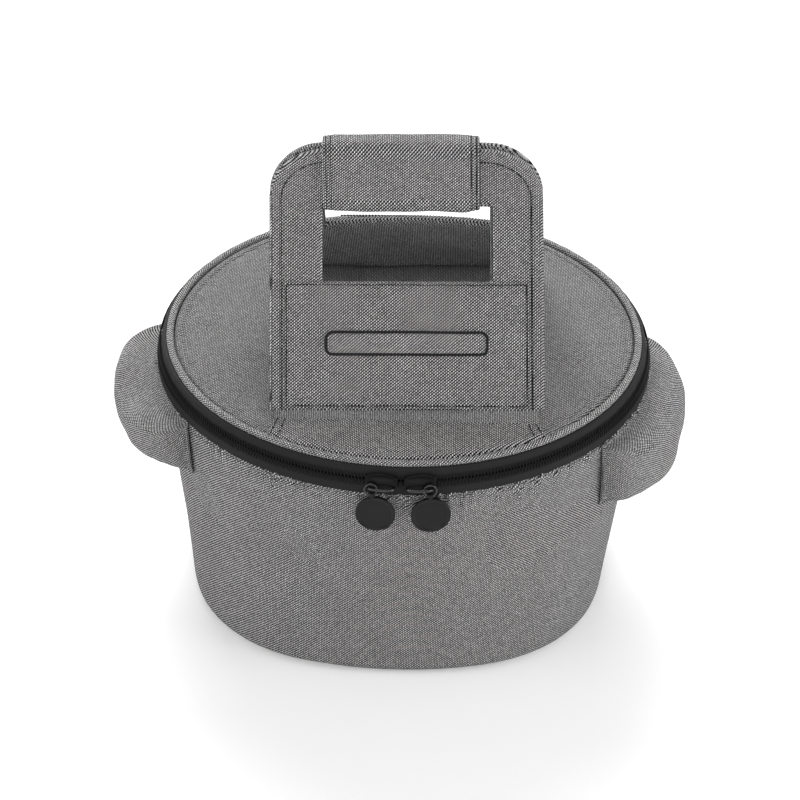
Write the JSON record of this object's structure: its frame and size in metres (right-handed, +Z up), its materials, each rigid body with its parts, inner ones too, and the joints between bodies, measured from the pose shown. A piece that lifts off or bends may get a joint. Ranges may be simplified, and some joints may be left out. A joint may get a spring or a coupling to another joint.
{
  "type": "casserole carrier",
  "caption": "Round insulated fabric carrier with a zipped padded lid, side pockets for pot lugs and two sewn handle panels held by a grip wrap.",
  "frame": {"origin": "centre of the base's underside, on the floor", "axes": "+Z up, -Y towards the zip pulls and the patched handle, +X to the right as seen from the front"},
  "size_m": [0.3634, 0.3182, 0.3101],
  "materials": {
    "grey_twill": "heathered grey twill, matte",
    "lining_fabric": "smooth coated lining",
    "foam": "insulating foam",
    "stiff_board": "plain board",
    "black_tape": "ribbed woven tape",
    "zip_coil": "satin nylon coil",
    "black_metal": "satin black",
    "pull_rubber": "smooth moulded rubber"
  },
  "bodies": {
    "tub": {"tub_wall": "grey_twill", "base_panel": "grey_twill", "base_board": "stiff_board", "wall_foam": "foam", "wall_lining": "lining_fabric", "base_foam": "foam", "base_lining": "lining_fabric", "rim_binding": "black_tape", "left_pocket": "grey_twill", "left_pocket_lining": "lining_fabric", "right_pocket": "grey_twill", "right_pocket_lining": "lining_fabric", "lower_zip_tape": "black_tape", "lower_zip_coil": "zip_coil", "left_end_stop": "black_metal", "right_end_stop": "black_metal", "lid_hinge_fabric": "grey_twill"},
    "lid": {"upper_zip_tape": "black_tape", "upper_zip_coil": "zip_coil", "lid_cover": "grey_twill", "lid_foam": "foam", "lid_lining": "lining_fabric", "lid_rolled_edge": "grey_twill", "lid_binding": "black_tape", "front_handle_anchor": "grey_twill", "front_handle_fold": "grey_twill", "back_handle_anchor": "grey_twill", "back_handle_fold": "grey_twill"},
    "front_handle": {"front_handle_outer_fabric": "grey_twill", "front_handle_core": "stiff_board", "front_handle_inner_fabric": "grey_twill", "front_handle_apron": "grey_twill", "blank_patch": "black_tape"},
    "back_handle": {"back_handle_outer_fabric": "grey_twill", "back_handle_core": "stiff_board", "back_handle_inner_fabric": "grey_twill", "back_handle_apron": "grey_twill", "wrap_sewn_part": "grey_twill", "wrap_loop_strip": "black_tape"},
    "wrap": {"wrap_flap": "grey_twill", "wrap_hook_strip": "black_tape"},
    "left_slider": {"left_slider": "black_metal", "left_pull_ring": "black_metal"},
    "left_pull": {"left_pull": "pull_rubber"},
    "right_slider": {"right_slider": "black_metal", "right_pull_ring": "black_metal"},
    "right_pull": {"right_pull": "pull_rubber"}
  },
  "joints": [
    {"name": "lid_hinge", "type": "hinge", "parent": "tub", "child": "lid", "pos_m": [0, 0.1535, 0.158], "axis": [-1, 0, 0], "range_deg": [0, 110], "deforming": ["lid_hinge_fabric"]},
    {"name": "front_handle_fold_hinge", "type": "hinge", "parent": "lid", "child": "front_handle", "pos_m": [0, -0.10225, 0.1693], "axis": [1, 0, 0], "range_deg": [0, 95], "deforming": ["front_handle_fold"]},
    {"name": "back_handle_fold_hinge", "type": "hinge", "parent": "lid", "child": "back_handle", "pos_m": [0, 0.07825, 0.1693], "axis": [-1, 0, 0], "range_deg": [0, 95], "deforming": ["back_handle_fold"]},
    {"name": "wrap_unroll", "type": "hinge", "parent": "back_handle", "child": "wrap", "pos_m": [0, -0.0043, 0.307], "axis": [-1, 0, 0], "range_deg": [0, 110], "deforming": ["wrap_flap", "wrap_hook_strip"]},
    {"name": "left_slider_travel", "type": "hinge", "parent": "tub", "child": "left_slider", "pos_m": [0, 0, 0.158], "axis": [0, 0, -1], "range_deg": [0, 145]},
    {"name": "left_pull_swing", "type": "hinge", "parent": "left_slider", "child": "left_pull", "pos_m": [-0.01762, -0.15924, 0.1515], "axis": [-0.9974, 0.0727, 0], "range_deg": [0, 110], "deforming": ["left_pull"]},
    {"name": "right_slider_travel", "type": "hinge", "parent": "tub", "child": "right_slider", "pos_m": [0, 0, 0.158], "axis": [0, 0, 1], "range_deg": [0, 145]},
    {"name": "right_pull_swing", "type": "hinge", "parent": "right_slider", "child": "right_pull", "pos_m": [0.01762, -0.15924, 0.1515], "axis": [-0.9974, -0.0727, 0], "range_deg": [0, 110], "deforming": ["right_pull"]}
  ]
}
